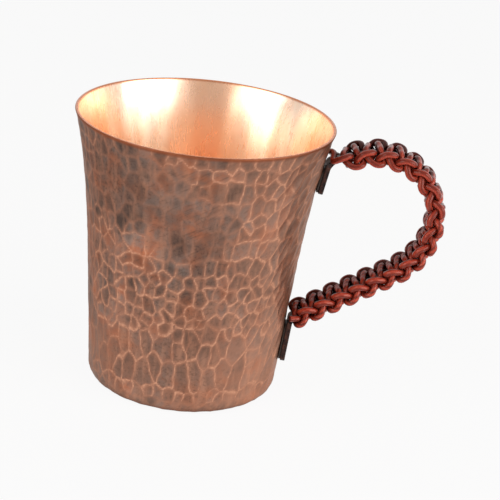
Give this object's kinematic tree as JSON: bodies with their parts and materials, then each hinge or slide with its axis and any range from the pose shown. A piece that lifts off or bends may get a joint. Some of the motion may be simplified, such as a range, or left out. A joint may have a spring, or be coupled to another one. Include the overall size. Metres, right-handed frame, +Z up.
{
  "type": "cup",
  "caption": "Handmade hammered copper coffee cup with a flared rim and a loop handle of flat strip bound in knotted cord.",
  "frame": {"origin": "middle of the base's underside, on the surface the cup stands on", "axes": "+Z up the cup's axis, +X towards the handle, the handle in the XZ plane"},
  "size_m": [0.1233, 0.0848, 0.0925],
  "materials": {
    "hammered_copper": "hammered copper, grey-brown patina in the dents and bright worn ridges outside, polished orange copper inside",
    "darkened_copper": "copper strip darkened almost to black, edges slightly worn",
    "silver_solder": "dull grey brazing solder",
    "waxed_cord": "dark red waxed cord with a satin gloss"
  },
  "bodies": {
    "root": {"cup_body": "hammered_copper", "handle_strip": "darkened_copper", "upper_solder_seam": "silver_solder", "lower_solder_seam": "silver_solder", "handle_cord": "waxed_cord"}
  },
  "joints": []
}
